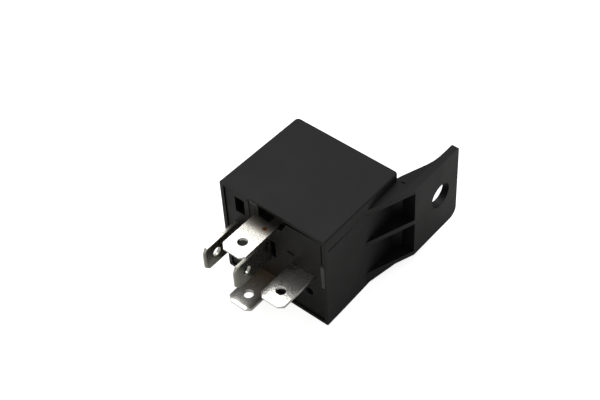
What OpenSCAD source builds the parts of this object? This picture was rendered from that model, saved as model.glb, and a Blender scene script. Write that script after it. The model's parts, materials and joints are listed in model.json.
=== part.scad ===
// Plug-in changeover relay: a black moulded cover with a mounting tab, five
// 6.3 mm blades in a base plate, and a hinged-armature magnet inside.
// Millimetres. X runs across the terminal face towards the tab, Y from the
// terminal face to the closed end, and Z up with the relay on its side.
// The origin is the middle of the side that the relay lies on.

/* [Cover] */
// Width of the cover at its rim
cover_w = 28.25; // [27.5:0.25:30]
// Height of the cover at its rim, as it lies on its side
cover_t = 27; // [26.5:0.25:29]
// Depth from the rim to the closed end
cover_l = 25; // [25:0.25:28]
// Wall round the base plate
rim_wall = 0.9; // [0.7:0.05:1]
// Wall behind the seat of the base plate
side_wall = 1.3; // [1.1:0.05:1.5]
// Wall of the closed end
end_wall = 1.2; // [0.9:0.05:1.3]
// How far each long wall leans in between the rim and the closed end
draw_in = 0.38; // [0.1:0.02:0.5]
// How far the top wall comes down between the rim and the closed end
top_fall = 0.62; // [0.1:0.02:0.8]
// Cut on the long edges of the cover
edge_r = 0.35; // [0.2:0.05:0.8]
// Radius round the closed end
nose_r = 0.45; // [0.3:0.05:1]
// Height of the relief moulded into the wall that carries the tab
relief_h = 23.5; // [22:0.25:24.5]
// How far the relief's upper edge climbs towards the closed end
relief_rise = 0.9; // [0:0.1:1]
// Depth of that relief at the closed end
relief_d = 0.45; // [0.2:0.05:0.6]
// Height of the groove along the relief's upper edge
groove_h = 0.3; // [0.2:0.05:0.5]
// Depth of that groove
groove_d = 0.25; // [0.1:0.05:0.3]

/* [Mounting tab] */
// Distance from the rim wall out to the face of the plate
tab_reach = 3.9; // [3.5:0.1:5]
// Thickness of the plate
tab_t = 1.7; // [1.4:0.1:2.2]
// Width of the plate
tab_w = 21; // [18:0.2:21.2]
// Length of the plate past the closed end
tab_len = 15.6; // [14.5:0.1:18]
// Gap between the closed end and the plate's near edge
tab_setback = 0.2; // [0:0.1:0.6]
// Diameter of the fixing hole
tab_hole_d = 6.2; // [5:0.1:6.6]
// Distance of the hole from the plate's near edge
tab_hole_at = 9.3; // [8.6:0.1:10]
// Height of the hole above the middle of the cover
tab_hole_up = 0.3; // [0:0.1:0.5]
// How far the plate sits below the middle of the cover
tab_drop = 0.3; // [0:0.1:0.4]
// Radius on the plate's lower far corner
tab_corner_low = 2.2; // [0.6:0.1:3]
// Radius on the plate's upper far corner
tab_corner_high = 0.5; // [0.3:0.1:2]
// Thickness of the three gusset ribs
rib_t = 1.3; // [1:0.1:1.6]
// Length of the ribs along the side wall
rib_len = 11.3; // [9:0.1:13]
// How much the lower rib spreads towards the wall
flare_low = 2.2; // [0:0.1:2.4]
// How much the upper rib spreads towards the wall
flare_high = 0.5; // [0:0.1:1.2]

/* [Base plate] */
// Thickness of the base plate
base_t = 2.4; // [2:0.1:2.8]
// Depth of its face below the rim
base_sink = 0.3; // [0.1:0.05:0.6]
// Gap round the base plate
base_gap = 0.14; // [0.05:0.01:0.25]
// Gap round each blade in its slot
slot_gap = 0.05; // [0.03:0.01:0.1]
// Width of the inspection window
window_w = 2.6; // [2:0.1:2.8]
// Height of the inspection window
window_h = 4.4; // [3:0.1:4.4]
// Distance of the window's middle from the rim wall at its side
window_side = 4.25; // [4.1:0.05:4.4]
// Distance of the window's middle from the rim wall above it
window_top = 3.65; // [3.65:0.05:4.4]
// Width of the raised border round the window
border_w = 1.3; // [0.8:0.05:1.3]
// Height of that border
border_h = 0.15; // [0.1:0.05:0.28]
// Height of the short bar above the common blade
bar_h = 0.28; // [0.1:0.02:0.3]
// Width of the notch in the rim above the upper coil blade
notch_w = 7.4; // [6:0.2:8]
// Depth of that notch
notch_d = 0.45; // [0.2:0.05:0.5]
// Diameter of the vent
vent_d = 1.9; // [1.2:0.1:2.4]
// Width of the open gap beside the plate, at the wall that carries the tab
gap_w = 0.5; // [0.3:0.05:0.6]

/* [Blades] */
// Width of a blade
blade_w = 6.3; // [6.1:0.1:6.5]
// Thickness of a blade
blade_t = 0.8; // [0.7:0.05:0.85]
// Length of a blade in front of the rim
blade_len = 10.6; // [9:0.1:12]
// Diameter of the detent hole
blade_hole_d = 2.2; // [1.6:0.1:2.4]
// Distance of the detent hole from the tip
blade_hole_at = 3.7; // [3:0.1:4.2]
// Corner cut at the tip
tip_cut = 1.1; // [0.6:0.1:1.5]
// Length of the tip's bevels
tip_bevel = 0.9; // [0.4:0.1:1.4]
// Thickness left at the end of the tip
tip_t = 0.3; // [0.2:0.05:0.5]
// Distance between the two coil blades
coil_pitch = 17; // [16.6:0.1:17.4]
// Place across the face of the normally open blade
open_x = -10.5; // [-10.8:0.1:-10.2]
// Place across the face of the coil blades and the normally closed blade
mid_x = -2; // [-2.3:0.1:-1.8]
// Place across the face of the common blade
common_x = 7.7; // [7.5:0.1:7.9]

/* [Magnet] */
// Room between the spring's rivets and the side wall
wall_room = 1.05; // [0.8:0.05:1.2]
// Room between the closed contact and the closed end
end_room = 0.55; // [0.3:0.05:1]
// Gap between the bobbin and the yoke
coil_gap = 0.2; // [0.1:0.05:0.4]
// Diameter of the core
core_d = 5; // [4:0.1:5.4]
// Diameter of the pole head
pole_d = 8.4; // [7:0.1:9]
// Thickness of the pole head
pole_t = 0.8; // [0.6:0.1:1]
// Diameter of the core's riveted tenon
tenon_d = 3.6; // [3:0.1:3.8]
// Thickness of the yoke
yoke_t = 1.5; // [1.3:0.1:1.5]
// Width of the yoke
yoke_w = 12; // [11:0.2:12.4]
// Diameter of the winding
wind_d = 11.4; // [9:0.1:11.8]
// Pitch of the winding's outer layer
wire_pitch = 0.46; // [0.4:0.02:0.8]
// Side of the bobbin's square flanges
flange_w = 12.6; // [12:0.1:12.7]
// Thickness of the bobbin's flanges
flange_t = 0.9; // [0.6:0.1:1]
// Wall of the bobbin's barrel
barrel_wall = 0.8; // [0.5:0.1:1]
// Gap between the core and the bobbin or the yoke
core_gap = 0.05; // [0.03:0.01:0.08]
// Diameter of the coil's lead wires
lead_d = 0.35; // [0.25:0.05:0.45]
// Width of the tenon that stakes the common blade to the yoke
stake_w = 3.2; // [2.6:0.1:3.6]
// Width of the coil blades' posts
post_w = 3; // [2.6:0.1:3.4]
// Height of the posts above the yoke's foot
post_h = 4.2; // [3.6:0.1:5]

/* [Armature and contacts] */
// Thickness of the armature
arm_t = 1.3; // [1:0.1:1.4]
// Width of the armature
arm_w = 11; // [9.6:0.2:11.4]
// Air gap left at the pole when the relay is pulled in
pole_gap = 0.05; // [0.04:0.01:0.1]
// Swing of the armature
travel = 2.9; // [2.4:0.1:3]
// Thickness of the contact spring
spring_t = 0.25; // [0.2:0.01:0.3]
// Width of the contact spring
spring_w = 8.2; // [7.6:0.1:8.4]
// Width of the contact spring at its contact
spring_tip_w = 4.4; // [4:0.1:5]
// Diameter of the contact heads
contact_d = 3; // [2.4:0.1:3.2]
// Height of a contact head
contact_h = 0.55; // [0.4:0.05:0.6]
// Clearance left between two contacts that touch
touch_gap = 0.03; // [0.02:0.01:0.05]
// Diameter of the contacts' shanks
shank_d = 1.5; // [1.2:0.1:1.8]
// Diameter of the riveted tails of the fixed contacts
tail_d = 1.9; // [1.8:0.1:2]
// Height of those tails
tail_h = 0.3; // [0.2:0.05:0.4]
// Distance of the contacts from the riser of the normally open blade
contact_off = 1.9; // [1.8:0.1:2.1]
// Width of that riser
open_riser_w = 5; // [4.4:0.2:6]
// Width of the normally closed blade's riser
closed_riser_w = 3.4; // [3:0.1:3.6]
// Diameter of the rivets that hold the spring
rivet_d = 1.4; // [1.2:0.1:1.6]
// Diameter of their heads
rivet_head_d = 2.4; // [2:0.1:2.6]
// Height of their heads
rivet_h = 0.5; // [0.3:0.05:0.6]
// Radial gap round rivets and shanks in their holes
rivet_gap = 0.04; // [0.03:0.01:0.06]

/* [Resistor] */
// Diameter of the suppression resistor
resistor_d = 2.1; // [1.6:0.1:2.2]
// Length of the suppression resistor
resistor_len = 6.2; // [5:0.1:6.6]
// Diameter of its leads
resistor_lead_d = 0.5; // [0.4:0.05:0.6]

/* [Hidden] */
$fn = 48;
eps = 0.01;

mid_z = cover_t / 2;
base_y = base_sink;
seat_y = base_y + base_t;
slot_w = blade_w + 2 * slot_gap;
slot_t = blade_t + 2 * slot_gap;
high_z = mid_z + coil_pitch / 2;
low_z = mid_z - coil_pitch / 2;

// Tab
face_x = cover_w / 2 + tab_reach;
plate_x = face_x - tab_t;
plate_y0 = cover_l + tab_setback;
plate_y1 = plate_y0 + tab_len;
hole_y = plate_y0 + tab_hole_at;
hole_z = mid_z + tab_hole_up;
tab_z0 = mid_z - tab_w / 2 - tab_drop;
tab_z1 = tab_z0 + tab_w;

// Window in the base plate and its border
window_x = -cover_w / 2 + rim_wall + window_side;
window_z = cover_t - rim_wall - window_top;

// Notch in the rim
notch_x0 = mid_x - 1.8;
notch_x1 = notch_x0 + notch_w;

// Across the magnet, from the wall that carries the tab
seat_gap = 0.02;
yoke_out = cover_w / 2 - draw_in - side_wall - wall_room - rivet_h - spring_t - seat_gap;
yoke_in = yoke_out - yoke_t;
coil_x = yoke_in - coil_gap - flange_w / 2;
hinge_x = yoke_out - 0.4 * yoke_t;
heel_x = yoke_out - 0.3 * yoke_t;
contact_x = open_x + contact_off;

// Along the magnet, from the closed end back to the base plate: the swing of
// the armature carries the moving contact up to the closed contact
swing_rise = (hinge_x - contact_x) * sin(travel) + (arm_t + spring_t / 2) * cos(travel);
contact_slack = 0.08;
closed_y = cover_l - end_wall - end_room - tail_h - blade_t;
arm_y = closed_y - contact_slack - touch_gap - 2 * contact_h - spring_t / 2 - swing_rise;
arm_top = arm_y + arm_t;
pole_y = arm_y - pole_gap;
head_y = pole_y - pole_t;
wind_y1 = head_y - flange_t;
foot_y = seat_y + yoke_t;
wind_y0 = foot_y + flange_t;
wind_len = wind_y1 - wind_y0;
yoke_end = arm_y - 0.03;
ear_w = 0.12 * yoke_w;
ear_h = 0.7 * yoke_t;
arm_tip_x = coil_x - pole_d / 2 - 2.2 * arm_t;

// Contacts and their carriers
spring_x0 = contact_x - contact_d / 2 - 0.4;
spring_mid = arm_top + spring_t / 2;
open_y = spring_mid - spring_t / 2 - 2 * contact_h - touch_gap;
riser_x = contact_x + contact_d / 2 + 0.5;
riser_z0 = mid_z + spring_tip_w / 2 + 1.4;
riser_z1 = riser_z0 + closed_riser_w;
cross_y = seat_y + 0.25 + blade_t / 2;

// Rivets that hold the spring to the yoke and to the armature
rivet_z = yoke_w / 5;
rivet_y = yoke_end - 6.8;
spring_leg = rivet_y - 1.3 * rivet_d;
arm_rivet_x = coil_x + pole_d * 3 / 7;

// Coil posts and what is soldered to them
post_y = foot_y + post_h;
solder_y = post_y - 1.2;
resistor_x = mid_x - post_w / 2 - 1.9;
solder_gap = 0.02;

function unit(v) = v / norm(v);
function arc(c, r, a0, a1, n) = [for (i = [0:n]) c + r * [cos(a0 + (a1 - a0) * i / n), sin(a0 + (a1 - a0) * i / n)]];
function round_box(x0, x1, y0, y1, r, n = 4) = concat(
    arc([x1 - r, y1 - r], r, 0, 90, n), arc([x0 + r, y1 - r], r, 90, 180, n),
    arc([x0 + r, y0 + r], r, 180, 270, n), arc([x1 - r, y0 + r], r, 270, 360, n));

// A point of the pulled-in armature, at rest
function swing(p) = [hinge_x, arm_y] + [
    (p[0] - hinge_x) * cos(travel) + (p[1] - arm_y) * sin(travel),
    (p[1] - arm_y) * cos(travel) - (p[0] - hinge_x) * sin(travel)];

// Centre line with its corners bent round, and the strip of metal along it
function corner(a, b, c, r, n) = let (p = b + r * unit(a - b), q = b + r * unit(c - b))
    [for (i = [0:n]) let (t = i / n) (1 - t) * (1 - t) * p + 2 * t * (1 - t) * b + t * t * q];
function bent(p, r, n = 6) = concat([p[0]],
    [for (i = [1:len(p) - 2]) each corner(p[i - 1], p[i], p[i + 1], r, n)], [p[len(p) - 1]]);
function left(p, i) = let (d = unit(p[min(i + 1, len(p) - 1)] - p[max(i - 1, 0)])) [-d[1], d[0]];
function strip(p, t) = concat([for (i = [0:len(p) - 1]) p[i] + left(p, i) * t / 2],
    [for (i = [len(p) - 1:-1:0]) p[i] - left(p, i) * t / 2]);

module at_origin() translate([0, -cover_l / 2, 0]) children();

// Stretches an outline in X and Z along Y
module along_y(y0, len) translate([0, y0, 0]) mirror([0, 1, 0]) rotate([90, 0, 0]) linear_extrude(len) children();

// Stretches an outline in Y and Z along X
module along_x(x0, len) translate([x0, 0, 0]) rotate([90, 0, 90]) linear_extrude(len) children();

// Stretches an outline in X and Y along Z
module along_z(z0, len) translate([0, 0, z0]) linear_extrude(len) children();

// A round bar along Y
module rod(x, y0, z, d, len) translate([x, y0, z]) rotate([-90, 0, 0]) cylinder(d = d, h = len);

// Puts the armature's pieces, drawn pulled in, at rest
module at_rest()
    translate([hinge_x, arm_y, 0]) rotate([0, 0, -travel]) translate([-hinge_x, -arm_y, 0]) children();

// ---------------------------------------------------------------- cover

// Outline from the rim to the closed end of a wall pair at a and b, which lean
// in by in_a and in_b, its far corners rounded
function leaning(a, b, y0, y1, in_a, in_b, r) = concat([[b, y0]],
    arc([b - in_b - r, y1 - r], r, 0, 90, 5), arc([a + in_a + r, y1 - r], r, 90, 180, 5), [[a, y0]]);

// Cuts one long edge: the rim's corner at [x, z] moves in by [dx, dz] at the closed end
module edge_cut(x, z, dx, dz, up) {
    reach = cover_w + cover_t;
    near = (x + up * z - edge_r) / sqrt(2);
    far = near - (dx + dz) / sqrt(2);
    rotate([0, -45 * up, 0]) along_z(-reach, 2 * reach)
        polygon([[near, 0], [far, cover_l], [reach, cover_l + 1], [reach, -1], [near, -1]]);
}

module cover_skin()
    difference() {
        intersection() {
            along_z(0, cover_t) polygon(leaning(-cover_w / 2, cover_w / 2, 0, cover_l, draw_in, draw_in, nose_r));
            along_x(-cover_w / 2, cover_w) mirror([1, -1])
                polygon(leaning(0, cover_t, 0, cover_l, 0, top_fall, nose_r));
        }
        for (s = [0, 1]) mirror([s, 0, 0]) {
            edge_cut(cover_w / 2, cover_t, draw_in, top_fall, 1);
            edge_cut(cover_w / 2, 0, draw_in, 0, -1);
        }
    }

// Room for the base plate, then for the works behind its seat
module cover_hollow() {
    along_y(-eps, seat_y + eps) polygon(round_box(-cover_w / 2 + rim_wall, cover_w / 2 - rim_wall,
        rim_wall, cover_t - rim_wall, 0.6));
    along_y(-eps, 0.9) polygon([[notch_x0, mid_z], [notch_x1, mid_z], [notch_x1 - 0.3, cover_t - rim_wall + notch_d],
        [notch_x0 + 0.3, cover_t - rim_wall + notch_d]]);
    x = cover_w / 2 - side_wall;
    z1 = cover_t - side_wall;
    end_y = cover_l - end_wall;
    intersection() {
        along_z(side_wall, z1 - side_wall) polygon(leaning(-x, x, seat_y - eps, end_y, draw_in, draw_in, 0.8));
        along_x(-x, 2 * x) mirror([1, -1]) polygon(leaning(side_wall, z1, seat_y - 1, end_y, 0, top_fall, 0.8));
    }
}

// Outline of the web and the plate, seen along Z. The web's root is buried in
// the corner of the cover.
module tab_outline() {
    wall_x = cover_w / 2 - draw_in;
    knee = [plate_x - 0.25, plate_y0 + 0.57 * tab_len];
    back = bent([[plate_x, plate_y1], knee, [wall_x - 0.55, cover_l]], 3.6, 8);
    polygon(concat([[wall_x + 1, plate_y0], [face_x, plate_y0], [face_x, plate_y1]], back,
        [[wall_x - 0.8, cover_l - 0.8], [wall_x - 0.4, cover_l - 1.6]]));
}

// Outline of a gusset rib, seen along Z
module rib_outline() {
    wall_x = cover_w / 2 - draw_in - relief_d;
    polygon([[wall_x - 0.4, plate_y0 - rib_len - 0.6], [cover_w / 2 - 0.12 - draw_in / 2, plate_y0 - rib_len],
        [face_x, plate_y0], [face_x, plate_y0 + 1], [wall_x - 0.4, cover_l - 1]]);
}

module tab() {
    spread = [[8, tab_z0 - flare_low], [cover_w / 2 - draw_in, tab_z0 - flare_low], [plate_x, tab_z0], [face_x + 1, tab_z0],
        [face_x + 1, tab_z1], [plate_x, tab_z1], [cover_w / 2 - draw_in, tab_z1 + flare_high], [8, tab_z1 + flare_high]];
    ends = concat([[0, tab_z1], [0, tab_z0]],
        arc([plate_y1 - tab_corner_low, tab_z0 + tab_corner_low], tab_corner_low, -90, 0, 6),
        arc([plate_y1 - tab_corner_high, tab_z1 - tab_corner_high], tab_corner_high, 0, 90, 4));
    difference() {
        intersection() {
            union() {
                along_z(0, cover_t) tab_outline();
                along_z(0, tab_z0 + rib_t) rib_outline();
                along_z(mid_z - rib_t / 2, rib_t) rib_outline();
                along_z(tab_z1 - rib_t, cover_t) rib_outline();
            }
            along_y(0, plate_y1) polygon(spread);
            union() {
                along_x(8, face_x) polygon(ends);
                translate([8, 0, 0]) cube([face_x, plate_y1 - 1.5 * tab_corner_low, cover_t]);
            }
        }
        translate([8, hole_y, hole_z]) rotate([0, 90, 0]) cylinder(d = tab_hole_d, h = face_x);
    }
}

// Relief in the wall under the tab, growing towards the closed end, and the
// groove along its upper edge
module wall_relief() {
    out_x = cover_w / 2 + 1;
    end_x = cover_w / 2 - draw_in - relief_d;
    y1 = cover_l + 1;
    intersection() {
        along_z(-1, cover_t) polygon([[cover_w / 2, 2], [out_x, 2], [out_x, y1], [end_x, y1]]);
        along_x(0, 2 * cover_w) polygon([[0, -1], [y1, -1], [y1, relief_h + relief_rise], [0.8 * cover_l, relief_h + relief_rise],
            [cover_l / 2, relief_h], [0, relief_h]]);
    }
    along_z(relief_h - groove_h, groove_h) polygon([[cover_w / 2 - groove_d, 1], [out_x, 1], [out_x, y1],
        [end_x - groove_d, y1]]);
}

module cover() color("#232325") at_origin()
    difference() {
        union() {
            difference() {
                cover_skin();
                wall_relief();
            }
            tab();
        }
        cover_hollow();
    }

// ----------------------------------------------------------- base plate

module window_outline(grow = 0, r = 0.15)
    polygon(round_box(window_x - window_w / 2 - grow, window_x + window_w / 2 + grow,
        window_z - window_h / 2 - grow, window_z + window_h / 2 + grow, r + grow / 2));

module blade_slots() {
    slot_h = base_t + 1;
    for (x = [open_x, mid_x])
        translate([x - slot_t / 2, base_y - 0.5, mid_z - slot_w / 2]) cube([slot_t, slot_h, slot_w]);
    translate([common_x - slot_w / 2, base_y - 0.5, mid_z - slot_t / 2]) cube([slot_w, slot_h, slot_t]);
    for (z = [low_z, high_z])
        translate([mid_x - slot_w / 2, base_y - 0.5, z - slot_t / 2]) cube([slot_w, slot_h, slot_t]);
}

// Shallow pockets moulded into the face beside the blades, and the open gap
// along the wall that carries the tab
module face_pockets() {
    top_z = cover_t - rim_wall - base_gap - 0.35;
    along_y(base_y - 1, 2.4) polygon([[notch_x0, high_z + 0.8], [notch_x0, top_z + 0.15], [notch_x1, top_z + 0.15],
        [notch_x1, top_z - 0.8], [mid_x + 4.2, high_z]]);
    along_y(base_y - 1, 1.9) polygon([[notch_x1 - 1, top_z - 0.7], [notch_x1 - 1, top_z + 0.15],
        [cover_w / 2 - rim_wall - 1.2, top_z + 0.15], [cover_w / 2 - rim_wall - 1.2, top_z - 0.1]]);
    along_y(base_y - 1, 2.5) polygon(round_box(mid_x + 0.8, mid_x + 2.1, mid_z - 1.3, mid_z + 3.4, 0.2));
    along_y(base_y - 1, 2.2) polygon([[cover_w / 2 - rim_wall - gap_w, mid_z + gap_w / 2 + 5.2], [cover_w / 2, mid_z + 5],
        [cover_w / 2, top_z - 0.4], [cover_w / 2 - rim_wall - gap_w, top_z - 0.6]]);
}

module base_plate() color("#1f1f21") at_origin() {
    edge = rim_wall + base_gap;
    difference() {
        union() {
            along_y(base_y, base_t) polygon(round_box(-cover_w / 2 + edge, cover_w / 2 - edge, edge, cover_t - edge, 0.5));
            along_y(base_y - border_h, 1) window_outline(border_w, 0.4);
            along_y(base_y - bar_h, 1) polygon(round_box(common_x - 4.3, common_x - 2.5, mid_z + 2.8, mid_z + 3.2, 0.12));
        }
        blade_slots();
        face_pockets();
        along_y(base_y - 1, base_t + 2) window_outline();
        rod(common_x + 1.4, base_y - 1, mid_z - 5.8, vent_d, base_t + 2);
        // Seats for the folded foot of the normally closed blade and for the yoke
        translate([riser_x - blade_t, seat_y - 0.4, mid_z - slot_w / 2]) cube([mid_x - riser_x + blade_t, 1, slot_w]);
    }
}

// Beads of sealing resin: one over the joint between the cover and the base
// plate, and one on the rim
module sealing_beads() color("#2b2a28") at_origin() {
    joint_x = cover_w / 2 - rim_wall;
    joint_z = cover_t - rim_wall;
    bead_r = 0.35;
    bead_z = cover_t - edge_r - bead_r - 0.05;
    difference() {
        union() {
            translate([joint_x, base_y, mid_z - 1]) cylinder(r = 0.55, h = 6);
            for (z = [mid_z - 1, mid_z + 5]) translate([joint_x, base_y, z]) sphere(0.55);
        }
        translate([-cover_w, base_y, 0]) cube([2 * cover_w, 2, cover_t]);
        difference() {
            translate([-cover_w, 0, -1]) cube([2 * cover_w, base_y, cover_t + 2]);
            translate([-joint_x, -1, rim_wall]) cube([2 * joint_x, 2, joint_z - rim_wall]);
        }
    }
    difference() {
        union() {
            translate([notch_x0 - 1.5, 0.15, bead_z]) rotate([0, 90, 0]) cylinder(r = bead_r, h = 1.3);
            for (x = [notch_x0 - 1.5, notch_x0 - 0.2]) translate([x, 0.15, bead_z]) sphere(bead_r);
        }
        translate([-cover_w, 0, 0]) cube([2 * cover_w, 2, cover_t]);
    }
}

// --------------------------------------------------------------- blades

// One blade, its width along X, from its tip to y1
module blade(y1) {
    w = blade_w / 2;
    intersection() {
        translate([0, 0, -blade_t]) linear_extrude(2 * blade_t) difference() {
            polygon([[-w, y1], [-w, -blade_len + tip_cut], [-w + tip_cut, -blade_len],
                [w - tip_cut, -blade_len], [w, -blade_len + tip_cut], [w, y1]]);
            translate([0, -blade_len + blade_hole_at]) circle(d = blade_hole_d);
        }
        along_x(-blade_w, 2 * blade_w) polygon([[y1, -blade_t / 2], [y1, blade_t / 2],
            [-blade_len + tip_bevel, blade_t / 2], [-blade_len, tip_t / 2],
            [-blade_len, -tip_t / 2], [-blade_len + tip_bevel, -blade_t / 2]]);
    }
}

module flat_blade(x, z, y1) translate([x, 0, z]) blade(y1);
module upright_blade(x, y1) translate([x, 0, mid_z]) rotate([0, 90, 0]) blade(y1);

// Common blade, with a tenon staked into the foot of the yoke
module terminal_30() color("#b9b9b6") at_origin() {
    flat_blade(common_x, mid_z, seat_y);
    translate([common_x - stake_w / 2, seat_y - 1, mid_z - blade_t / 2]) cube([stake_w, yoke_t + 1, blade_t]);
}

// Coil blade, with a notched post for the winding's lead
module coil_terminal(z) {
    flat_blade(mid_x, z, seat_y);
    difference() {
        translate([mid_x - post_w / 2, seat_y - 1, z - blade_t / 2]) cube([post_w, post_y - seat_y + 1, blade_t]);
        for (x = [mid_x - post_w / 2, mid_x + post_w / 2])
            translate([x, post_y - 0.8 * post_w, z - blade_t]) cylinder(d = 0.3 * post_w, h = 2 * blade_t);
    }
}

module terminal_85() color("#8f8a84") at_origin() coil_terminal(low_z);
module terminal_86() color("#d6d5d0") at_origin() coil_terminal(high_z);

// Normally open blade: its riser bends over to carry the contact
module terminal_87() color("#a9aaa2") at_origin() {
    upright_blade(open_x, seat_y);
    carrier_y = open_y - blade_t / 2;
    difference() {
        along_z(mid_z - open_riser_w / 2, open_riser_w) polygon(strip(bent([[open_x, seat_y - 1], [open_x, carrier_y],
            [contact_x + contact_d / 2 + 0.4, carrier_y]], 1.25 * blade_t), blade_t));
        rod(contact_x, carrier_y - 1, mid_z, shank_d + 2 * rivet_gap, 2);
    }
}

// Normally closed blade: it folds over, rises beside the spring and reaches
// across behind it
module terminal_87a() color("#a3a59c") at_origin() {
    upright_blade(mid_x, seat_y);
    carrier_y = closed_y + blade_t / 2;
    path = bent([[mid_x, seat_y - 1], [mid_x, cross_y], [riser_x, cross_y], [riser_x, carrier_y],
        [contact_x - contact_d / 2 - 0.3, carrier_y]], 1.1 * blade_t);
    z0 = mid_z - blade_w / 2;
    difference() {
        along_z(z0, riser_z1 - z0) polygon(strip(path, blade_t));
        // Leaves the riser as a strip beside the spring
        translate([riser_x - 2 * blade_t, cross_y + 1.6 * blade_t, z0 - 1])
            cube([4 * blade_t, closed_y - cross_y - 1.6 * blade_t, riser_z0 - z0 + 1]);
        translate([mid_x - 1, base_y - 1, mid_z + blade_w / 2]) cube([2, base_t + 1, riser_z1]);
        rod(contact_x, carrier_y - 1, mid_z, shank_d + 2 * rivet_gap, 2);
    }
}

// --------------------------------------------------------------- magnet

module yoke() color("#b7b8b4") at_origin() {
    foot_x = mid_x + blade_t / 2 + 0.7;
    ear_z = yoke_w / 2 - ear_w;
    difference() {
        union() {
            along_z(mid_z - yoke_w / 2, yoke_w)
                polygon(concat([[foot_x, seat_y]], arc([yoke_out - 1.2, seat_y + 1.2], 1.2, -90, 0, 6),
                    [[yoke_out, yoke_end], [yoke_in, yoke_end], [yoke_in, foot_y], [foot_x, foot_y]]));
            for (s = [-1, 1])
                translate([yoke_in, yoke_end - 1, mid_z + s * (ear_z + ear_w / 2) - ear_w / 2]) cube([yoke_t, 1 + ear_h, ear_w]);
        }
        rod(coil_x, seat_y - 1, mid_z, tenon_d + 2 * core_gap, yoke_t + 2);
        translate([common_x - stake_w / 2 - slot_gap, seat_y - 1, mid_z - slot_t / 2])
            cube([stake_w + 2 * slot_gap, yoke_t + 2, slot_t]);
        for (s = [-1, 1])
            translate([yoke_in - 1, rivet_y, mid_z + s * rivet_z]) rotate([0, 90, 0])
                cylinder(d = rivet_d + 2 * rivet_gap, h = yoke_t + 2);
    }
}

module core() color("#c2c2be") at_origin()
    translate([coil_x, 0, mid_z]) rotate([-90, 0, 0]) rotate_extrude()
        polygon([[0, seat_y], [tenon_d / 2, seat_y], [tenon_d / 2, foot_y], [core_d / 2, foot_y], [core_d / 2, head_y],
            [pole_d / 2, head_y], [pole_d / 2, pole_y - 0.2], [pole_d / 2 - 0.2, pole_y], [0, pole_y]]);

module bobbin() color("#e8e4d8") at_origin() {
    bore = core_d + 2 * core_gap;
    f = flange_w / 2;
    difference() {
        union() {
            for (y = [foot_y, wind_y1])
                along_y(y, flange_t) translate([coil_x, mid_z]) polygon(round_box(-f, f, -f, f, 1.6));
            rod(coil_x, foot_y, mid_z, bore + 2 * barrel_wall, wind_len + 2 * flange_t);
        }
        rod(coil_x, foot_y - 1, mid_z, bore, wind_len + 4);
    }
}

module coil_winding() color("#b0682c") at_origin() {
    turns = floor((wind_len - 0.1) / wire_pitch);
    y0 = wind_y0 + (wind_len - turns * wire_pitch) / 2;
    bore = core_d / 2 + core_gap + barrel_wall + 0.02;
    r = wind_d / 2 - wire_pitch / 2;
    ridges = [for (i = [0:turns - 1]) each arc([r, y0 + wire_pitch * (i + 0.5)], wire_pitch / 2, -80, 80, 3)];
    translate([coil_x, 0, mid_z]) rotate([-90, 0, 0]) rotate_extrude()
        polygon(concat([[bore, y0]], [[r, y0]], ridges, [[r, y0 + turns * wire_pitch], [bore, y0 + turns * wire_pitch]]));
}

// A wire that runs straight from point to point
module wire(p, d)
    for (i = [0:len(p) - 2]) {
        v = p[i + 1] - p[i];
        translate(p[i]) rotate([0, acos(v[2] / norm(v)), atan2(v[1], v[0])]) cylinder(d = d, h = norm(v), $fn = 16);
        if (i > 0) translate(p[i]) sphere(d = d, $fn = 16);
    }

// A lead of the winding, straight from its first turn to a coil blade's post
// and up along it
module coil_lead(s) {
    x = mid_x + 0.6;
    y = wind_y0 + 1;
    start_z = sqrt(pow(wind_d / 2, 2) - pow(coil_x - x - lead_d / 2, 2)) + solder_gap;
    post_z = coil_pitch / 2 - blade_t / 2 - lead_d / 2 - solder_gap;
    wire([[x, y, mid_z + s * start_z], [x, y, mid_z + s * post_z], [x, post_y - 0.3, mid_z + s * post_z]], lead_d);
}

module coil_lead_start() color("#b5692a") at_origin() coil_lead(1);
module coil_lead_end() color("#b5692a") at_origin() coil_lead(-1);

// ------------------------------------------------- armature and contacts

module armature() color("#bcbcb7") at_origin() at_rest() {
    heel_w = yoke_w - 2 * ear_w - 0.6;
    shoulder_x = yoke_in - yoke_t / 3;
    w = arm_w / 2;
    h = heel_w / 2;
    difference() {
        along_y(arm_y, arm_t) translate([0, mid_z]) polygon([[arm_tip_x + 1, -w], [arm_tip_x, -w + 1], [arm_tip_x, w - 1],
            [arm_tip_x + 1, w], [shoulder_x, w], [shoulder_x, h], [heel_x, h], [heel_x, -h], [shoulder_x, -h], [shoulder_x, -w]]);
        along_z(0, cover_t) polygon([[heel_x - 0.4 * arm_t, arm_top + eps], [heel_x + 0.8 * arm_t, arm_top + eps],
            [heel_x + 0.8 * arm_t, arm_top - 1.2 * arm_t]]);
        for (s = [-1, 1]) rod(arm_rivet_x, arm_y - arm_t, mid_z + s * rivet_z, rivet_d + 2 * rivet_gap, 3 * arm_t);
    }
}

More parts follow.
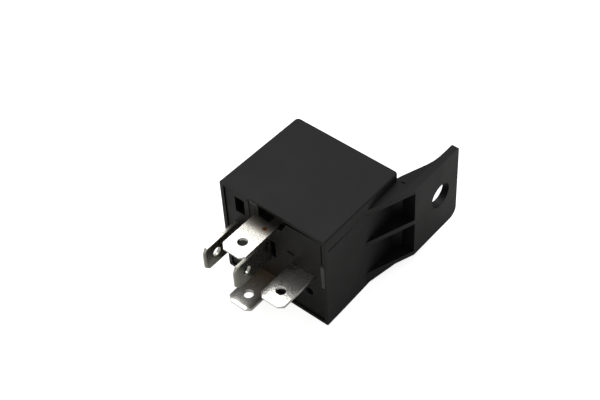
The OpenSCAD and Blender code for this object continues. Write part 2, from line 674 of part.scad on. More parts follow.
// Leaf spring: held on the yoke, bent round the heel of the armature, riveted
// to it and carried on to the moving contact
module contact_spring() color("#c59a4a") at_origin() {
    start = swing([spring_x0, spring_mid + 0.01]);
    leg_x = yoke_out + spring_t / 2 + 0.01;
    knee = [leg_x, start[1] - (leg_x - start[0]) * tan(travel)];
    w = spring_w / 2;
    t = spring_tip_w / 2;
    tip_x = contact_x + 2 / 3 * contact_d;
    wide_x = arm_tip_x + 1.25 * arm_t;
    difference() {
        intersection() {
            along_z(mid_z - w, spring_w) polygon(strip(bent([start, knee, [leg_x, spring_leg]], 0.95), spring_t));
            along_y(0, cover_l + 2) translate([0, mid_z]) polygon([[-cover_w, -t], [tip_x, -t], [wide_x, -w],
                [cover_w, -w], [cover_w, w], [wide_x, w], [tip_x, t], [-cover_w, t]]);
        }
        // Window over the heel, which leaves two narrow straps
        translate([hinge_x - 2.4, yoke_end - 3.4, mid_z - 1.9]) cube([6, 9, 3.8]);
        for (s = [-1, 1]) {
            translate([yoke_out - 1, rivet_y, mid_z + s * rivet_z]) rotate([0, 90, 0]) cylinder(d = rivet_d + 2 * rivet_gap, h = 3);
            at_rest() rod(arm_rivet_x, arm_top - 1, mid_z + s * rivet_z, rivet_d + 2 * rivet_gap, 3);
        }
        at_rest() rod(contact_x, arm_top - 1, mid_z, shank_d + 2 * rivet_gap, 3);
    }
}

// A rivet along Z: a low domed head, and a shank that starts at z = 0
module rivet(d, shank, head, h) {
    ball = (head * head / 4 + h * h) / (2 * h);
    translate([0, 0, -shank]) cylinder(d = d, h = shank + eps);
    intersection() {
        translate([0, 0, h - ball]) sphere(ball, $fn = 64);
        cylinder(d = head, h = h);
    }
}

module spring_rivets() color("#a8a9a6") at_origin()
    for (s = [-1, 1])
        translate([yoke_out + spring_t + seat_gap, rivet_y, mid_z + s * rivet_z]) rotate([0, 90, 0])
            rivet(rivet_d, spring_t + seat_gap + yoke_t, rivet_head_d, rivet_h);

module armature_rivets() color("#a8a9a6") at_origin() at_rest()
    for (s = [-1, 1])
        translate([arm_rivet_x, arm_top + spring_t + seat_gap, mid_z + s * rivet_z]) rotate([-90, 0, 0])
            rivet(rivet_d, spring_t + seat_gap + arm_t, rivet_head_d, rivet_h);

// Double-sided contact on the end of the spring
module moving_contact() color("#d9d9d2") at_origin() at_rest()
    translate([contact_x, spring_mid + 0.01, mid_z]) rotate([-90, 0, 0])
        for (s = [0, 1]) mirror([0, 0, s])
            translate([0, 0, spring_t / 2 + 0.01]) rivet(shank_d, spring_t / 2 + 0.01, contact_d, contact_h);

module open_contact() color("#d9d9d2") at_origin()
    translate([contact_x, open_y, mid_z]) rotate([-90, 0, 0]) {
        rivet(shank_d, blade_t + 0.2, contact_d, contact_h);
        translate([0, 0, -blade_t - tail_h]) cylinder(d = tail_d, h = tail_h - eps);
    }

module closed_contact() color("#d9d9d2") at_origin()
    translate([contact_x, closed_y, mid_z]) rotate([90, 0, 0]) {
        rivet(shank_d, blade_t + 0.2, contact_d, contact_h);
        translate([0, 0, -blade_t - tail_h]) cylinder(d = tail_d, h = tail_h - eps);
    }

// ------------------------------------------------------------- resistor

module resistor() color("#5f86a6") at_origin() {
    r = resistor_d / 2;
    h = resistor_len / 2;
    bend = r / 2;
    translate([resistor_x, solder_y, mid_z]) rotate_extrude()
        polygon(concat([[0, -h]], arc([r - bend, -h + bend], bend, -90, 0, 4), [[r, -0.55 * h], [0.89 * r, -0.45 * h],
            [0.89 * r, 0.45 * h], [r, 0.55 * h]], arc([r - bend, h - bend], bend, 0, 90, 4), [[0, h]]));
}

module resistor_lead(s)
    wire([[resistor_x, solder_y, mid_z + s * (resistor_len / 2 + solder_gap)], [resistor_x, solder_y, mid_z + s * coil_pitch / 2],
        [mid_x - post_w / 2 - solder_gap, solder_y, mid_z + s * coil_pitch / 2]], resistor_lead_d);

module resistor_lead_85() color("#b4b4b0") at_origin() resistor_lead(-1);
module resistor_lead_86() color("#b4b4b0") at_origin() resistor_lead(1);

cover();
base_plate();
sealing_beads();
terminal_30();
terminal_85();
terminal_86();
terminal_87();
terminal_87a();
yoke();
core();
bobbin();
coil_winding();
coil_lead_start();
coil_lead_end();
armature();
contact_spring();
spring_rivets();
armature_rivets();
moving_contact();
open_contact();
closed_contact();
resistor();
resistor_lead_85();
resistor_lead_86();
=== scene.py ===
# Plug-in changeover relay: looks, camera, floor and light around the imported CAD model
import bpy
import json
import math
from mathutils import Matrix, Vector


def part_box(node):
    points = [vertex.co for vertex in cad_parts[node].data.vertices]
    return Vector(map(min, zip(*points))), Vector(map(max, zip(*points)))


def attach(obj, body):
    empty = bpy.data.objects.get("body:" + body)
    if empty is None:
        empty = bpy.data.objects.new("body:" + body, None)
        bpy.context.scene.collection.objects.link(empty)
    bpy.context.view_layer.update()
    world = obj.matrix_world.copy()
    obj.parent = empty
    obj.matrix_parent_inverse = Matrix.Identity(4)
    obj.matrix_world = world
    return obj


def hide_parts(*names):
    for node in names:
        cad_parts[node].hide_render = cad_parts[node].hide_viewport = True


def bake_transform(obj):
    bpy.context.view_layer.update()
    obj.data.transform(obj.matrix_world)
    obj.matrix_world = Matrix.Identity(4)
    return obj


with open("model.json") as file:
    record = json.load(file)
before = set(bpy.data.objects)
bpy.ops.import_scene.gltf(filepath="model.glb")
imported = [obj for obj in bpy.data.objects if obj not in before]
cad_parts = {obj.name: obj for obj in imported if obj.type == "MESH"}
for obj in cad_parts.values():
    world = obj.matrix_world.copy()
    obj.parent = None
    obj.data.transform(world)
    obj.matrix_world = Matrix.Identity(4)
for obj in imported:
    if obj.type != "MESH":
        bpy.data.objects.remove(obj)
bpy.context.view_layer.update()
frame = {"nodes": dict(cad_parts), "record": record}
print("frame loaded")

mm = 0.001


# ---- small helpers

def hexColour(text):
    # sRGB hex to the linear colour a socket wants
    parts = [int(text[i:i + 2], 16) / 255 for i in (1, 3, 5)]
    return tuple(c / 12.92 if c <= 0.04045 else ((c + 0.055) / 1.055) ** 2.4 for c in parts) + (1,)


def addNode(tree, kind, values=None, links=None, **settings):
    # one node, its settings, its socket values and what feeds it
    node = tree.nodes.new(kind)
    for key, value in settings.items():
        setattr(node, key, value)
    for key, value in (values or {}).items():
        node.inputs[key].default_value = value
    for key, source in (links or {}).items():
        tree.links.new(source, node.inputs[key])
    return node


def perMm(size):
    # pattern scale on Object coordinates for a feature of that size in mm
    return 1 / (size * mm)


def startMaterial(name):
    material = bpy.data.materials.new(name)
    material.use_nodes = True
    tree = material.node_tree
    return material, tree, tree.nodes["Principled BSDF"]


def makeActive(piece):
    bpy.ops.object.select_all(action="DESELECT")
    piece.select_set(True)
    bpy.context.view_layer.objects.active = piece


def applyModifier(piece, kind, **settings):
    makeActive(piece)
    modifier = piece.modifiers.new(kind.title(), kind)
    for key, value in settings.items():
        setattr(modifier, key, value)
    bpy.ops.object.modifier_apply(modifier=modifier.name)


def combine(piece, other, operation):
    # boolean with another piece, which is used up
    applyModifier(piece, "BOOLEAN", object=other, operation=operation, solver="EXACT")
    bpy.data.objects.remove(other)


def selectFaces(piece, test):
    # edit mode with only the faces that pass the test selected
    makeActive(piece)
    bpy.ops.object.mode_set(mode="EDIT")
    bpy.ops.mesh.select_all(action="DESELECT")
    bpy.ops.object.mode_set(mode="OBJECT")
    for face in piece.data.polygons:
        face.select = test(face.center / mm, face.normal)
    bpy.ops.object.mode_set(mode="EDIT")
    bpy.ops.mesh.select_mode(type="FACE")


def selectEdges(piece, test):
    # edit mode with only the edges that pass the test selected, ends given in mm
    makeActive(piece)
    bpy.ops.object.mode_set(mode="EDIT")
    bpy.ops.mesh.select_mode(type="EDGE")
    bpy.ops.mesh.select_all(action="DESELECT")
    bpy.ops.object.mode_set(mode="OBJECT")
    points = [v.co / mm for v in piece.data.vertices]
    for edge in piece.data.edges:
        edge.select = test(points[edge.vertices[0]], points[edge.vertices[1]])
    bpy.ops.object.mode_set(mode="EDIT")


def objectMode():
    bpy.ops.object.mode_set(mode="OBJECT")


def block(name, low, high):
    # a cube primitive between two corners in mm
    low, high = Vector(low) * mm, Vector(high) * mm
    bpy.ops.object.select_all(action="DESELECT")
    bpy.ops.mesh.primitive_cube_add(size=1, location=(low + high) / 2)
    piece = bpy.context.object
    piece.name = name
    piece.scale = high - low
    bpy.ops.object.transform_apply(location=True, rotation=True, scale=True)
    return piece


def slab(name, outline, across, start, depth):
    # a flat primitive whose corners are pulled to the outline, then extruded; across is
    # the axis it is as deep as, and the outline is in the other two, in mm
    bpy.ops.object.select_all(action="DESELECT")
    bpy.ops.mesh.primitive_circle_add(vertices=len(outline), radius=mm, fill_type="NGON")
    piece = bpy.context.object
    piece.name = name
    for vertex, (a, b) in zip(piece.data.vertices, outline):
        place = {"X": (start, a, b), "Y": (a, start, b), "Z": (a, b, start)}[across]
        vertex.co = Vector(place) * mm
    bpy.ops.object.mode_set(mode="EDIT")
    bpy.ops.mesh.select_all(action="SELECT")
    step = Vector([depth * mm if axis == across else 0 for axis in "XYZ"])
    bpy.ops.mesh.extrude_region_move(TRANSFORM_OT_translate={"value": step})
    bpy.ops.mesh.select_all(action="SELECT")
    bpy.ops.mesh.normals_make_consistent(inside=False)
    objectMode()
    return piece


def drum(name, centre, radius, depth, axis, vertices=48):
    # a cylinder primitive along X, Y or Z
    turn = {"X": (0, math.pi / 2, 0), "Y": (math.pi / 2, 0, 0), "Z": (0, 0, 0)}[axis]
    bpy.ops.object.select_all(action="DESELECT")
    bpy.ops.mesh.primitive_cylinder_add(vertices=vertices, radius=radius * mm, depth=depth * mm,
                                        location=Vector(centre) * mm, rotation=turn)
    piece = bpy.context.object
    piece.name = name
    bpy.ops.object.transform_apply(location=True, rotation=True, scale=True)
    return piece


def softCopy(node, name, width, segments=2, angle=30):
    # a merged copy of a CAD node with its sharp edges broken by a small round
    piece = frame["nodes"][node].copy()
    piece.data = piece.data.copy()
    piece.name = name
    piece.parent = None
    for key in list(piece.keys()):
        del piece[key]
    bpy.context.scene.collection.objects.link(piece)
    makeActive(piece)
    bpy.ops.object.mode_set(mode="EDIT")
    bpy.ops.mesh.select_all(action="SELECT")
    bpy.ops.mesh.remove_doubles(threshold=0.002 * mm)
    bpy.ops.mesh.dissolve_limited(angle_limit=math.radians(1.5))
    objectMode()
    applyModifier(piece, "BEVEL", width=width * mm, segments=segments, limit_method="ANGLE",
                  angle_limit=math.radians(angle))
    smooth(piece)
    return piece


def smooth(piece, angle=50):
    # rounds shade softly while flat faces stay flat
    makeActive(piece)
    bpy.ops.object.shade_smooth_by_angle(angle=math.radians(angle))
    applyModifier(piece, "WEIGHTED_NORMAL", keep_sharp=True, weight=100)


def dress(piece, body, slot, material, *nodes):
    # puts the finish on a piece and ties it to the frame
    piece.data.materials.clear()
    piece.data.materials.append(material)
    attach(piece, body)
    if nodes:
        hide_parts(*nodes)


# ---- camera

cameraSettings = {"azimuth": 42.578, "elevation": 47.45, "roll": -3.78, "distance": 302.04,
                  "aim": (-5.538, 2.579, 13.632), "lens": 83.135}


def makeCamera(s):
    data = bpy.data.cameras.new("camera")
    data.lens = s["lens"]
    data.sensor_width = 36
    data.clip_start = 0.01
    camera = bpy.data.objects.new("camera", data)
    bpy.context.scene.collection.objects.link(camera)
    turn = (Matrix.Rotation(math.radians(s["azimuth"]), 3, "Z")
            @ Matrix.Rotation(math.radians(90 - s["elevation"]), 3, "X")
            @ Matrix.Rotation(math.radians(s["roll"]), 3, "Z"))
    place = Vector(s["aim"]) + turn @ Vector((0, 0, s["distance"]))
    camera.matrix_world = Matrix.Translation(place * mm) @ turn.to_4x4()
    bpy.context.scene.camera = camera


makeCamera(cameraSettings)
print("camera placed")


# ---- finishes

# blotch, grain and grainDepth are in mm
plasticLook = {"dark": "#0c0c0c", "light": "#131313", "rough": (0.44, 0.54), "specular": 0.26,
               "blotch": 9.0, "grain": 0.22, "grainDepth": 0.006, "grainShare": 0.4}


def mouldedPbt(name, s):
    # glass-filled PBT off a spark-eroded mould: near black, satin, very finely mottled
    material, tree, shader = startMaterial(name)
    place = addNode(tree, "ShaderNodeTexCoord").outputs["Object"]
    blotch = addNode(tree, "ShaderNodeTexNoise", {"Scale": perMm(s["blotch"]), "Detail": 3},
                     {"Vector": place})
    # the real grain is about 0.05 mm, drawn coarser so that it shows
    grain = addNode(tree, "ShaderNodeTexNoise", {"Scale": perMm(s["grain"]), "Detail": 2},
                    {"Vector": place})
    both = addNode(tree, "ShaderNodeMix", {"Factor": s["grainShare"]},
                   {"A": blotch.outputs["Fac"], "B": grain.outputs["Fac"]})
    tint = addNode(tree, "ShaderNodeValToRGB", links={"Fac": both.outputs["Result"]})
    tint.color_ramp.elements[0].position = 0.35
    tint.color_ramp.elements[1].position = 0.65
    tint.color_ramp.elements[0].color = hexColour(s["dark"])
    tint.color_ramp.elements[1].color = hexColour(s["light"])
    rough = addNode(tree, "ShaderNodeMapRange", {"From Min": 0.3, "From Max": 0.7, "To Min": s["rough"][0],
                    "To Max": s["rough"][1]}, {"Value": blotch.outputs["Fac"]})
    bump = addNode(tree, "ShaderNodeBump", {"Strength": 0.5, "Distance": s["grainDepth"] * mm},
                   {"Height": grain.outputs["Fac"]})
    shader.inputs["Specular IOR Level"].default_value = s["specular"]
    tree.links.new(tint.outputs["Color"], shader.inputs["Base Color"])
    tree.links.new(rough.outputs["Result"], shader.inputs["Roughness"])
    tree.links.new(bump.outputs["Normal"], shader.inputs["Normal"])
    return material


# sizes and places are in mm; the tarnish grows from tarnishFrom to tarnishTo along Y
tinLook = {"bright": "#dddcd7", "dull": "#9b978c", "rough": (0.12, 0.34), "peel": 0.55,
           "peelDepth": 0.012, "spots": 0.28, "tarnish": 0.25, "tarnishFrom": -20, "tarnishTo": -12,
           "rustAt": None, "rust": "#7d4a26", "rustCore": 0.2, "rustReach": 1.3}


def tinnedBrass(name, **changes):
    # tin plated on stamped brass: bright but uneven, dull and specked towards the root
    s = {**tinLook, **changes}
    material, tree, shader = startMaterial(name)
    place = addNode(tree, "ShaderNodeTexCoord").outputs["Object"]
    axes = addNode(tree, "ShaderNodeSeparateXYZ", links={"Vector": place})
    peel = addNode(tree, "ShaderNodeTexNoise", {"Scale": perMm(s["peel"]), "Detail": 3, "Roughness": 0.6},
                   {"Vector": place})
    spots = addNode(tree, "ShaderNodeTexNoise", {"Scale": perMm(s["spots"]), "Detail": 4, "Roughness": 0.7},
                    {"Vector": place})
    # more tarnish near the base plate, least at the tip
    towardRoot = addNode(tree, "ShaderNodeMapRange", {"From Min": s["tarnishFrom"] * mm,
                         "From Max": s["tarnishTo"] * mm, "To Min": 0.0, "To Max": 1.0},
                         {"Value": axes.outputs["Y"]}, clamp=True)
    level = addNode(tree, "ShaderNodeMath", {1: s["tarnish"]}, {0: towardRoot.outputs["Result"]},
                    operation="MULTIPLY")
    speck = addNode(tree, "ShaderNodeMath", {}, {0: spots.outputs["Fac"], 1: level.outputs[0]},
                    operation="ADD")
    mask = addNode(tree, "ShaderNodeMapRange", {"From Min": 0.52, "From Max": 0.72, "To Min": 0.0,
                   "To Max": 1.0}, {"Value": speck.outputs[0]}, clamp=True)
    tint = addNode(tree, "ShaderNodeMix", {"A": hexColour(s["bright"]), "B": hexColour(s["dull"])},
                   {"Factor": mask.outputs["Result"]}, data_type="RGBA")
    colour = tint.outputs["Result"]
    rough = addNode(tree, "ShaderNodeMapRange", {"From Min": 0.3, "From Max": 0.8, "To Min": s["rough"][0],
                    "To Max": s["rough"][1]}, {"Value": speck.outputs[0]}, clamp=True)
    roughness = rough.outputs["Result"]
    if s["rustAt"]:
        # a small patch of rust-brown stain
        away = addNode(tree, "ShaderNodeVectorMath", {1: Vector(s["rustAt"]) * mm}, {0: place},
                       operation="DISTANCE")
        near = addNode(tree, "ShaderNodeMapRange", {"From Min": s["rustCore"] * mm,
                       "From Max": s["rustReach"] * mm, "To Min": 0.75, "To Max": -0.3},
                       {"Value": away.outputs["Value"]}, clamp=True)
        patch = addNode(tree, "ShaderNodeMath", {}, {0: near.outputs["Result"], 1: spots.outputs["Fac"]},
                        operation="ADD")
        rust = addNode(tree, "ShaderNodeMapRange", {"From Min": 0.85, "From Max": 1.0},
                       {"Value": patch.outputs[0]}, clamp=True)
        tint = addNode(tree, "ShaderNodeMix", {"B": hexColour(s["rust"])},
                       {"Factor": rust.outputs["Result"], "A": colour}, data_type="RGBA")
        colour = tint.outputs["Result"]
    bump = addNode(tree, "ShaderNodeBump", {"Strength": 0.6, "Distance": s["peelDepth"] * mm},
                   {"Height": peel.outputs["Fac"]})
    shader.inputs["Metallic"].default_value = 1
    tree.links.new(colour, shader.inputs["Base Color"])
    tree.links.new(roughness, shader.inputs["Roughness"])
    tree.links.new(bump.outputs["Normal"], shader.inputs["Normal"])
    return material


# streak is its width and length, cloud and depth are sizes, all in mm
metalLooks = {
    # zinc plate on rolled iron: pale grey, satin
    "plated_iron": {"name": "zincPlatedIron", "bright": "#c9c8c2", "dull": "#a5a49c",
                    "rough": (0.28, 0.42), "streak": (0.12, 3.0), "cloud": 2.5, "depth": 0.004},
    # rolled phosphor bronze: warm, with long fine streaks
    "spring_bronze": {"name": "rolledPhosphorBronze", "bright": "#d2a05a", "dull": "#b5813f",
                      "rough": (0.22, 0.34), "streak": (0.08, 4.0), "cloud": 2.5, "depth": 0.003},
    # silver alloy, headed cold: white, a little dull
    "contact_silver": {"name": "silverAlloy", "bright": "#e2e1db", "dull": "#b9b7ae",
                       "rough": (0.18, 0.36), "streak": (0.25, 0.5), "cloud": 2.5, "depth": 0.004},
    # enamelled copper wire: glossy, red-brown
    "enamelled_copper": {"name": "enamelledCopper", "bright": "#b4562a", "dull": "#8c3a18",
                         "rough": (0.2, 0.3), "streak": (0.3, 1.5), "cloud": 2.5, "depth": 0.003},
}


def drawnMetal(s):
    # plated, rolled or drawn metal: fine streaks along one direction and a little dulling
    material, tree, shader = startMaterial(s["name"])
    place = addNode(tree, "ShaderNodeTexCoord").outputs["Object"]
    turned = addNode(tree, "ShaderNodeMapping", {"Scale": (1 / s["streak"][0], 1 / s["streak"][1],
                     1 / s["streak"][0])}, {"Vector": place})
    streak = addNode(tree, "ShaderNodeTexNoise", {"Scale": perMm(1), "Detail": 3},
                     {"Vector": turned.outputs["Vector"]})
    cloud = addNode(tree, "ShaderNodeTexNoise", {"Scale": perMm(s["cloud"]), "Detail": 4},
                    {"Vector": place})
    tint = addNode(tree, "ShaderNodeMix", {"A": hexColour(s["bright"]), "B": hexColour(s["dull"])},
                   {"Factor": cloud.outputs["Fac"]}, data_type="RGBA")
    rough = addNode(tree, "ShaderNodeMapRange", {"From Min": 0.3, "From Max": 0.7, "To Min": s["rough"][0],
                    "To Max": s["rough"][1]}, {"Value": streak.outputs["Fac"]})
    bump = addNode(tree, "ShaderNodeBump", {"Strength": 0.5, "Distance": s["depth"] * mm},
                   {"Height": streak.outputs["Fac"]})
    shader.inputs["Metallic"].default_value = 1
    tree.links.new(tint.outputs["Result"], shader.inputs["Base Color"])
    tree.links.new(rough.outputs["Result"], shader.inputs["Roughness"])
    tree.links.new(bump.outputs["Normal"], shader.inputs["Normal"])
    return material


# cloud and depth are in mm
coatLooks = {
    # natural nylon, moulded: cream, satin
    "bobbin_nylon": {"name": "naturalNylon", "dark": "#cfc7b0", "light": "#e6e0cf",
                     "rough": (0.4, 0.55), "cloud": 3.0, "depth": 0.006, "coat": 0.0},
    # dipped lacquer on the resistor: blue, soft gloss
    "resistor_lacquer": {"name": "blueLacquer", "dark": "#2f6a94", "light": "#3d7cab",
                         "rough": (0.25, 0.4), "cloud": 1.2, "depth": 0.02, "coat": 0.4},
    # potting resin cured in place: near black, wet-looking
    "sealing_resin": {"name": "curedResin", "dark": "#141412", "light": "#2b2a26",
                      "rough": (0.08, 0.22), "cloud": 1.6, "depth": 0.05, "coat": 0.3},
}


def smoothCoat(s):
    # nylon, lacquer or cured resin: even colour, soft waves on the surface
    material, tree, shader = startMaterial(s["name"])
    place = addNode(tree, "ShaderNodeTexCoord").outputs["Object"]
    cloud = addNode(tree, "ShaderNodeTexNoise", {"Scale": perMm(s["cloud"]), "Detail": 3},
                    {"Vector": place})
    tint = addNode(tree, "ShaderNodeMix", {"A": hexColour(s["dark"]), "B": hexColour(s["light"])},
                   {"Factor": cloud.outputs["Fac"]}, data_type="RGBA")
    rough = addNode(tree, "ShaderNodeMapRange", {"From Min": 0.3, "From Max": 0.7, "To Min": s["rough"][0],
                    "To Max": s["rough"][1]}, {"Value": cloud.outputs["Fac"]})
    bump = addNode(tree, "ShaderNodeBump", {"Strength": 0.5, "Distance": s["depth"] * mm},
                   {"Height": cloud.outputs["Fac"]})
    shader.inputs["Coat Weight"].default_value = s["coat"]
    tree.links.new(tint.outputs["Result"], shader.inputs["Base Color"])
    tree.links.new(rough.outputs["Result"], shader.inputs["Roughness"])
    tree.links.new(bump.outputs["Normal"], shader.inputs["Normal"])
    return material


finish = {
    "cover_plastic": mouldedPbt("mouldedPbtSatin", plasticLook),
    "base_plastic": mouldedPbt("mouldedPbtGlossy", {**plasticLook, "rough": (0.34, 0.5), "specular": 0.2}),
    "tinned_brass": tinnedBrass("tinnedBrass"),
}
for slotName, look in metalLooks.items():
    finish[slotName] = drawnMetal(look)
for slotName, look in coatLooks.items():
    finish[slotName] = smoothCoat(look)
# the same tin on five blades: 30 and 86 have aged differently, 85 has tarnish specks in a painted dark
# olive reflection, and 87 and 87a are darker copies with painted shade
bladeFinish = {
    "terminal_30": tinnedBrass("tinnedBrassMottled", tarnish=0.2, rough=(0.1, 0.3), peelDepth=0.03),
    # olive specks that stand for tarnish and also for a painted dark olive reflection
    "terminal_85": tinnedBrass("tinnedBrassSpecksAndPaintedReflection", tarnish=0.3, dull="#8d7a60"),
    "terminal_86": tinnedBrass("tinnedBrassRusted", tarnish=0.32, rustAt=(-0.7, -14.0, 22.4)),
    # a darker tin colour: painted shade on this blade's dark face
    "terminal_87": tinnedBrass("tinnedBrassPaintedShade", tarnish=0.15, bright="#cfd0c6"),
    # a darker tin colour: painted shadow cast by the blade above it
    "terminal_87a": tinnedBrass("tinnedBrassPaintedShadow", tarnish=0.2, bright="#cdcdc2"),
}
print("finishes made")

for row in frame["record"]["subparts"]:
    node = frame["nodes"][row["node"]]
    node.data.materials.clear()
    node.data.materials.append(bladeFinish.get(row["node"], finish[row["material_slot"]]))


# ---- cover with its mounting tab

# all in mm; webCurve is how far in from the plate's back and back from its end
coverSettings = {
    "width": 28.25, "height": 27.0, "length": 25.0, "drawIn": 0.38, "topFall": 0.62, "edgeRound": 0.34,
    "endRound": 0.9, "rimWall": 0.9, "sideWall": 1.3, "endWall": 1.2, "seat": 2.7,
    "reliefHeight": 23.5, "reliefRise": 0.9, "reliefDepth": 0.45, "grooveHeight": 0.3,
    "grooveDepth": 0.25, "tabThickness": 1.7, "tabStart": 25.2, "tabLow": 2.7, "tabHigh": 23.7,
    "cornerLow": 2.2, "cornerHigh": 0.5,
    "webCurve": ((0, 0), (0, 3.2), (0.06, 5), (0.25, 6.6), (0.7, 8.4), (1.35, 10.4)),
    "ribThickness": 1.3, "ribLength": 11.3, "flareLow": 2.2, "flareHigh": 0.5,
    "holeDiameter": 6.2, "holeAt": 9.3, "holeUp": 0.3, "smallRound": 0.14,
    "notchFrom": -3.8, "notchWidth": 7.4, "notchDepth": 0.45, "notchReach": 0.9, "notchLean": 0.3}


def makeCover(s):
    low, high = [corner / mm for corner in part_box("cover")]
    rim = low.y
    end = rim + s["length"]
    half = s["width"] / 2
    cover = block("coverShell", (-half, rim, 0), (half, end, s["height"]))
    # draft: the closed end is a little smaller than the rim
    selectFaces(cover, lambda c, n: n.y > 0.9)
    bpy.ops.transform.resize(value=(1 - s["drawIn"] / half, 1, 1 - s["topFall"] / s["height"]))
    bpy.ops.transform.translate(value=(0, 0, -s["topFall"] / 2 * mm))
    objectMode()
    selectEdges(cover, lambda a, b: min(a.y, b.y) > end - 0.01 and abs(a.z - b.z) > 5)
    bpy.ops.mesh.bevel(offset=s["endRound"] * mm, segments=5, affect="EDGES")
    objectMode()
    middle = s["height"] / 2
    selectEdges(cover, lambda a, b: max(a.y, b.y) > rim + 1 and (a.z - middle) * (b.z - middle) > 0)
    bpy.ops.mesh.bevel(offset=s["edgeRound"] * mm, segments=3, affect="EDGES")
    objectMode()
    # relief under the tab and the groove along its upper edge
    endX = half - s["drawIn"] - s["reliefDepth"]
    top = s["reliefHeight"]
    wedge = slab("wedge", [(half, rim + 2), (half + 1, rim + 2), (half + 1, end + 1), (endX, end + 1)],
                 "Z", -1, s["height"] + 1)
    risen = top + s["reliefRise"]
    climb = slab("climb", [(rim, -2), (end + 2, -2), (end + 2, risen), (rim + 0.8 * s["length"], risen),
                           (rim + s["length"] / 2, top), (rim, top)], "X", 0, 40)
    combine(wedge, climb, "INTERSECT")
    combine(cover, wedge, "DIFFERENCE")
    groove = slab("groove", [(half - s["grooveDepth"], rim + 1), (half + 1, rim + 1),
                             (half + 1, end + 1), (endX - s["grooveDepth"], end + 1)],
                  "Z", top - s["grooveHeight"], s["grooveHeight"])
    combine(cover, groove, "DIFFERENCE")
    # web and plate, seen along Z
    face = high.x
    back = face - s["tabThickness"]
    wall = half - s["drawIn"]
    near = rim + s["tabStart"]
    far = high.y
    curve = [(back - inward, far - along) for inward, along in s["webCurve"]]
    # its root is buried in the cover's corner
    buried = [(wall - 0.55, end), (wall - 0.8, end - 0.8), (wall - 0.4, end - 1.6)]
    outline = [(wall + 1, near), (face, near), (face, far)] + curve + buried
    tab = slab("web", outline, "Z", 0, s["height"])
    root = wall - s["reliefDepth"]
    rib = [(root - 0.4, near - s["ribLength"] - 0.6), (half - 0.31, near - s["ribLength"]), (face, near),
           (face, near + 1), (root - 0.4, end - 1)]
    t = s["ribThickness"]
    for name, start, depth in (("ribLow", 0, s["tabLow"] + t), ("ribMiddle", middle - t / 2, t),
                               ("ribHigh", s["tabHigh"] - t, s["height"] - s["tabHigh"] + t)):
        combine(tab, slab(name, rib, "Z", start, depth), "UNION")
    spread = [(8, s["tabLow"] - s["flareLow"]), (wall, s["tabLow"] - s["flareLow"]), (back, s["tabLow"]),
              (face + 1, s["tabLow"]), (face + 1, s["tabHigh"]), (back, s["tabHigh"]),
              (wall, s["tabHigh"] + s["flareHigh"]), (8, s["tabHigh"] + s["flareHigh"])]
    combine(tab, slab("spread", spread, "Y", rim, s["length"] + 30), "INTERSECT")
    for corner, test in (("cornerLow", lambda z: z < middle), ("cornerHigh", lambda z: z > middle)):
        selectEdges(tab, lambda a, b: min(a.y, b.y) > far - 0.01 and abs(a.x - b.x) > 1 and test(a.z))
        bpy.ops.mesh.bevel(offset=s[corner] * mm, segments=5, affect="EDGES")
        objectMode()
    combine(cover, tab, "UNION")
    # room for the base plate and for the works
    wide = half - s["rimWall"]
    room = block("plateRoom", (-wide, rim - 1, s["rimWall"]),
                 (wide, rim + s["seat"], s["height"] - s["rimWall"]))
    combine(cover, room, "DIFFERENCE")
    # notch in the rim above the upper coil blade
    notchTo = s["notchFrom"] + s["notchWidth"]
    notchTop = s["height"] - s["rimWall"] + s["notchDepth"]
    lean = s["notchLean"]
    notch = slab("notch", [(s["notchFrom"], middle), (notchTo, middle), (notchTo - lean, notchTop),
                           (s["notchFrom"] + lean, notchTop)], "Y", rim - 0.5, s["notchReach"] + 0.5)
    combine(cover, notch, "DIFFERENCE")
    wide = half - s["sideWall"]
    room = block("worksRoom", (-wide, rim + s["seat"] - 0.5, s["sideWall"]),
                 (wide, end - s["endWall"], s["height"] - s["sideWall"]))
    selectFaces(room, lambda c, n: n.y > 0.9)
    tall = s["height"] - 2 * s["sideWall"]
    bpy.ops.transform.resize(value=(1 - s["drawIn"] / wide, 1, 1 - s["topFall"] / tall))
    bpy.ops.transform.translate(value=(0, 0, -s["topFall"] / 2 * mm))
    objectMode()
    combine(cover, room, "DIFFERENCE")
    hole = drum("hole", (face, near + s["holeAt"], middle + s["holeUp"]), s["holeDiameter"] / 2, 12, "X")
    combine(cover, hole, "DIFFERENCE")
    makeActive(cover)
    bpy.ops.object.mode_set(mode="EDIT")
    bpy.ops.mesh.select_all(action="SELECT")
    bpy.ops.mesh.remove_doubles(threshold=0.002 * mm)
    bpy.ops.mesh.dissolve_limited(angle_limit=math.radians(1))
    objectMode()
    applyModifier(cover, "BEVEL", width=s["smallRound"] * mm, segments=2, limit_method="ANGLE",
                  angle_limit=math.radians(35))
    smooth(cover)
    return cover


dress(makeCover(coverSettings), "relay_body", "cover_plastic", finish["cover_plastic"], "cover")
print("cover made")


# ---- base plate and blades

# widths of the small rounds, in mm
edgeSettings = {"plate": 0.12, "blade": 0.07}
dress(softCopy("base_plate", "basePlate", edgeSettings["plate"]), "relay_body", "base_plastic",
      finish["base_plastic"], "base_plate")
for terminal, name in (("terminal_30", "bladeCommon"), ("terminal_85", "bladeCoilLow"),
                       ("terminal_86", "bladeCoilHigh"), ("terminal_87", "bladeOpen"),
                       ("terminal_87a", "bladeClosed")):
    dress(softCopy(terminal, name, edgeSettings["blade"]), "relay_body", "tinned_brass",
          bladeFinish[terminal], terminal)
print("base plate and blades made")


# ---- contact spring, between the yoke and the armature

# in mm; bendFrom and bendTo are two places along Y
springSettings = {"bendFrom": 1.0, "bendTo": 6.0, "edge": 0.03}


def makeSpring(s):
    spring = softCopy("contact_spring", "leafSpring", s["edge"], 1)
    spring.data.materials.clear()
    spring.data.materials.append(finish["spring_bronze"])
    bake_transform(spring)
    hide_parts("contact_spring")


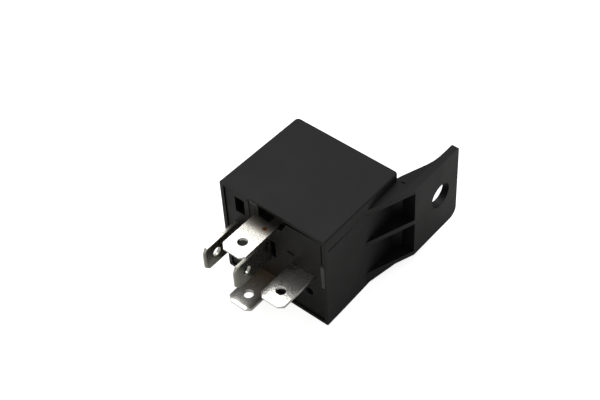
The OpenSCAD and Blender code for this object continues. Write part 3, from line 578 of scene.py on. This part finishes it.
makeSpring(springSettings)
print("contact spring made")


# ---- floor, background and light

# metres and watts
studio = {"floor": "#e2e2e0", "floorSize": 3, "floorGlow": 0.8, "ambient": 0.5, "keySize": 0.5,
          "keyPower": 1.6, "keyPlace": (-0.25, 0.1, 0.6)}


def makeStudio(s):
    bpy.ops.object.select_all(action="DESELECT")
    bpy.ops.mesh.primitive_plane_add(size=s["floorSize"], location=(0, 0, 0))
    floor = bpy.context.object
    floor.name = "floor"
    material, tree, shader = startMaterial("paleFloor")
    shader.inputs["Base Color"].default_value = hexColour(s["floor"])
    shader.inputs["Roughness"].default_value = 0.9
    shader.inputs["Specular IOR Level"].default_value = 0.1
    shader.inputs["Emission Color"].default_value = (1, 1, 1, 1)
    # the camera sees the floor lifted to white, the object doesn't
    rays = addNode(tree, "ShaderNodeLightPath")
    glow = addNode(tree, "ShaderNodeMath", {1: s["floorGlow"]}, {0: rays.outputs["Is Camera Ray"]},
                   operation="MULTIPLY")
    tree.links.new(glow.outputs[0], shader.inputs["Emission Strength"])
    floor.data.materials.append(material)
    world = bpy.data.worlds.new("softbox")
    bpy.context.scene.world = world
    world.use_nodes = True
    sky = world.node_tree
    sky.nodes.clear()
    seen = addNode(sky, "ShaderNodeLightPath")
    strength = addNode(sky, "ShaderNodeMapRange", {"To Min": s["ambient"], "To Max": 1.0},
                       {"Value": seen.outputs["Is Camera Ray"]})
    background = addNode(sky, "ShaderNodeBackground", {"Color": (1, 1, 1, 1)},
                         {"Strength": strength.outputs["Result"]})
    addNode(sky, "ShaderNodeOutputWorld", links={"Surface": background.outputs[0]})
    lamp = bpy.data.lights.new("key", "AREA")
    lamp.size = s["keySize"]
    lamp.energy = s["keyPower"]
    key = bpy.data.objects.new("key", lamp)
    key.location = s["keyPlace"]
    key.rotation_euler = Vector(s["keyPlace"]).to_track_quat("Z", "Y").to_euler()
    bpy.context.scene.collection.objects.link(key)


makeStudio(studio)
bpy.context.scene.view_settings.view_transform = "Standard"
print("studio made")
